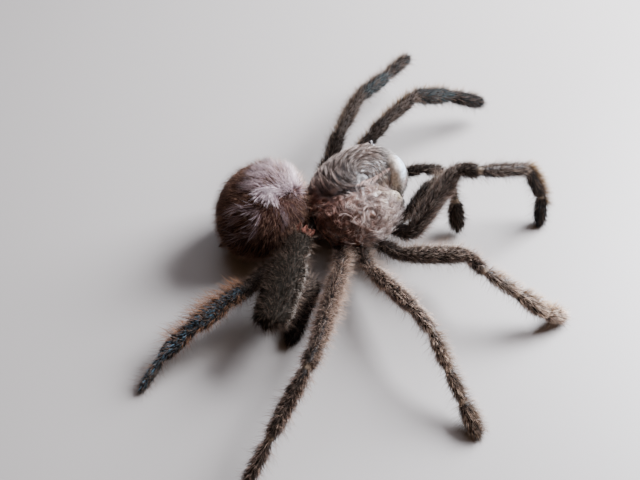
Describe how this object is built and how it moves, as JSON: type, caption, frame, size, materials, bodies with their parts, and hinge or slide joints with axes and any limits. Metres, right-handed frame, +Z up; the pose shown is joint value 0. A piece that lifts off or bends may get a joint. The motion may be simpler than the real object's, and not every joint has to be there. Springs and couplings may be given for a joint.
{
  "type": "tarantula specimen",
  "caption": "Dead hairy tarantula kept as a dry specimen, legs splayed, resting on its flattened belly and breast plate.",
  "frame": {"origin": "a point of the flattened belly patch that the abdomen rests on, 1.5 mm behind the middle of the abdomen", "axes": "+X towards the head, +Y towards the spider's left side, +Z up from the surface it lies on"},
  "size_m": [0.0914, 0.1103, 0.0183],
  "materials": {
    "abdomen_hair": "dark reddish-brown velvet hair with pale lilac bristles",
    "carapace_hair": "combed tan-grey hair, damp and matted",
    "chelicera_cuticle": "glossy cuticle with short pale hair",
    "fang_horn": "black glossy horn",
    "leg_hair": "brown hair with tan and pinkish tips over dark cuticle"
  },
  "bodies": {
    "root": {"abdomen": "abdomen_hair", "cephalothorax": "carapace_hair", "pedicel": "abdomen_hair", "chelicera_left": "chelicera_cuticle", "chelicera_right": "chelicera_cuticle", "fang_left": "fang_horn", "fang_right": "fang_horn", "spinneret_left": "abdomen_hair", "spinneret_right": "abdomen_hair", "pedipalp_left": "leg_hair", "pedipalp_right": "leg_hair", "leg_left_1": "leg_hair", "leg_left_2": "leg_hair", "leg_left_3": "leg_hair", "leg_left_4": "leg_hair", "leg_right_1": "leg_hair", "leg_right_2": "leg_hair", "leg_right_3": "leg_hair", "leg_right_4": "leg_hair"}
  },
  "joints": []
}
